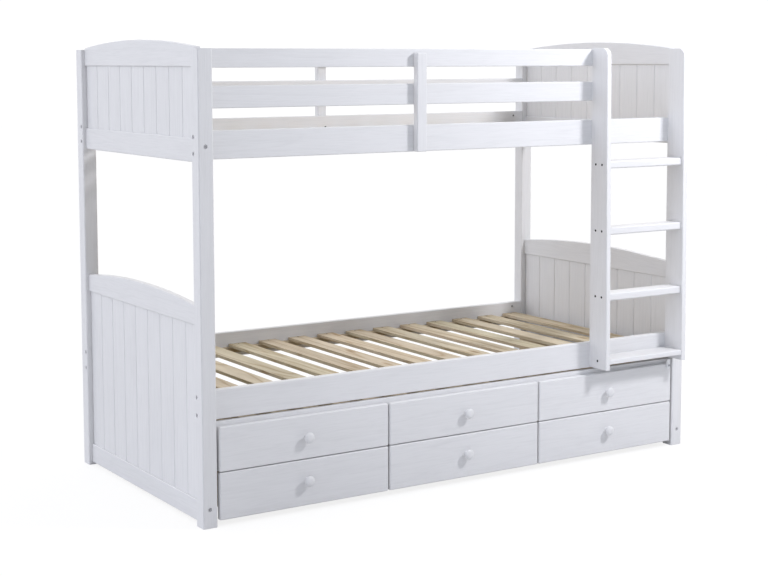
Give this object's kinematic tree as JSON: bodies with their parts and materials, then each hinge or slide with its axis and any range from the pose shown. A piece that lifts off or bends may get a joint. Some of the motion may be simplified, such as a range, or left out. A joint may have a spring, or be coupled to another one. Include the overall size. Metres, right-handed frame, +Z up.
{
  "type": "bunk bed",
  "caption": "White painted softwood bunk bed with arched tongue and groove ends, a wedge ladder at the front and a castor trundle with drawers under the lower bunk.",
  "frame": {"origin": "on the floor, in the middle of the outline seen from above (ladder foot to back posts)", "axes": "+X along the bed towards the ladder end, +Y from the front to the back, +Z up"},
  "size_m": [2.08, 1.0876, 1.577],
  "materials": {
    "white_paint": "satin paint over softwood",
    "natural_pine": "bare softwood",
    "plain_board": "painted board",
    "zinc_steel": "zinc plated",
    "bracket_steel": "grey paint",
    "white_plastic": "moulded",
    "wheel_plastic": "moulded"
  },
  "bodies": {
    "bed": {"lower_front_left_post": "white_paint", "lower_front_right_post": "white_paint", "lower_back_left_post": "white_paint", "lower_back_right_post": "white_paint", "upper_front_left_post": "white_paint", "upper_front_right_post": "white_paint", "upper_back_left_post": "white_paint", "upper_back_right_post": "white_paint", "lower_left_panel_rails": "white_paint", "lower_left_panel_boards": "white_paint", "lower_right_panel_rails": "white_paint", "lower_right_panel_boards": "white_paint", "upper_left_panel_rails": "white_paint", "upper_left_panel_boards": "white_paint", "upper_right_panel_rails": "white_paint", "upper_right_panel_boards": "white_paint", "lower_front_side_rail": "white_paint", "lower_back_side_rail": "white_paint", "upper_front_side_rail": "white_paint", "upper_back_side_rail": "white_paint", "slat_ledgers": "natural_pine", "lower_slats": "natural_pine", "upper_slats": "natural_pine", "front_guard_middle_rail": "white_paint", "front_guard_top_rail": "white_paint", "back_guard_middle_rail": "white_paint", "back_guard_top_rail": "white_paint", "guard_battens": "white_paint", "ladder_left_stile": "white_paint", "ladder_right_stile": "white_paint", "ladder_treads": "white_paint", "ladder_bottom_step": "white_paint", "post_pins": "zinc_steel", "frame_bolts": "zinc_steel", "frame_screws": "zinc_steel"},
    "trundle": {"trundle_front_board": "white_paint", "trundle_back_board": "plain_board", "trundle_cross_boards": "plain_board", "drawer_runners": "plain_board", "trundle_slats": "natural_pine", "trundle_ledgers": "natural_pine", "false_fronts": "white_paint", "false_front_knobs": "white_paint", "trundle_screws": "zinc_steel", "castor_brackets": "bracket_steel"},
    "drawer_1": {"drawer_1_front": "white_paint", "drawer_1_box": "plain_board", "drawer_1_knob": "white_paint"},
    "drawer_2": {"drawer_2_front": "white_paint", "drawer_2_box": "plain_board", "drawer_2_knob": "white_paint"},
    "drawer_3": {"drawer_3_front": "white_paint", "drawer_3_box": "plain_board", "drawer_3_knob": "white_paint"},
    "turn_button": {"turn_button": "white_plastic"},
    "castor_wheel_front_left": {"castor_wheel_front_left": "wheel_plastic"},
    "castor_wheel_back_left": {"castor_wheel_back_left": "wheel_plastic"},
    "castor_wheel_front_right": {"castor_wheel_front_right": "wheel_plastic"},
    "castor_wheel_back_right": {"castor_wheel_back_right": "wheel_plastic"}
  },
  "joints": [
    {"name": "trundle_slide", "type": "slide", "parent": "bed", "child": "trundle", "axis": [0, -1, 0], "range_m": [0, 0.85]},
    {"name": "drawer_1_slide", "type": "slide", "parent": "trundle", "child": "drawer_1", "axis": [0, -1, 0], "range_m": [0, 0.36]},
    {"name": "drawer_2_slide", "type": "slide", "parent": "trundle", "child": "drawer_2", "axis": [0, -1, 0], "range_m": [0, 0.36]},
    {"name": "drawer_3_slide", "type": "slide", "parent": "trundle", "child": "drawer_3", "axis": [0, -1, 0], "range_m": [0, 0.36]},
    {"name": "turn_button_hinge", "type": "hinge", "parent": "trundle", "child": "turn_button", "pos_m": [0.9631, -0.4765, 0.322], "axis": [0, 1, 0], "range_deg": [-90, 90]},
    {"name": "castor_wheel_front_left_axle", "type": "hinge", "parent": "trundle", "child": "castor_wheel_front_left", "pos_m": [-0.9706, -0.3732, 0.025], "axis": [1, 0, 0], "continuous": true},
    {"name": "castor_wheel_back_left_axle", "type": "hinge", "parent": "trundle", "child": "castor_wheel_back_left", "pos_m": [-0.9706, 0.4148, 0.025], "axis": [1, 0, 0], "continuous": true},
    {"name": "castor_wheel_front_right_axle", "type": "hinge", "parent": "trundle", "child": "castor_wheel_front_right", "pos_m": [0.9706, -0.3732, 0.025], "axis": [1, 0, 0], "continuous": true},
    {"name": "castor_wheel_back_right_axle", "type": "hinge", "parent": "trundle", "child": "castor_wheel_back_right", "pos_m": [0.9706, 0.4148, 0.025], "axis": [1, 0, 0], "continuous": true}
  ]
}
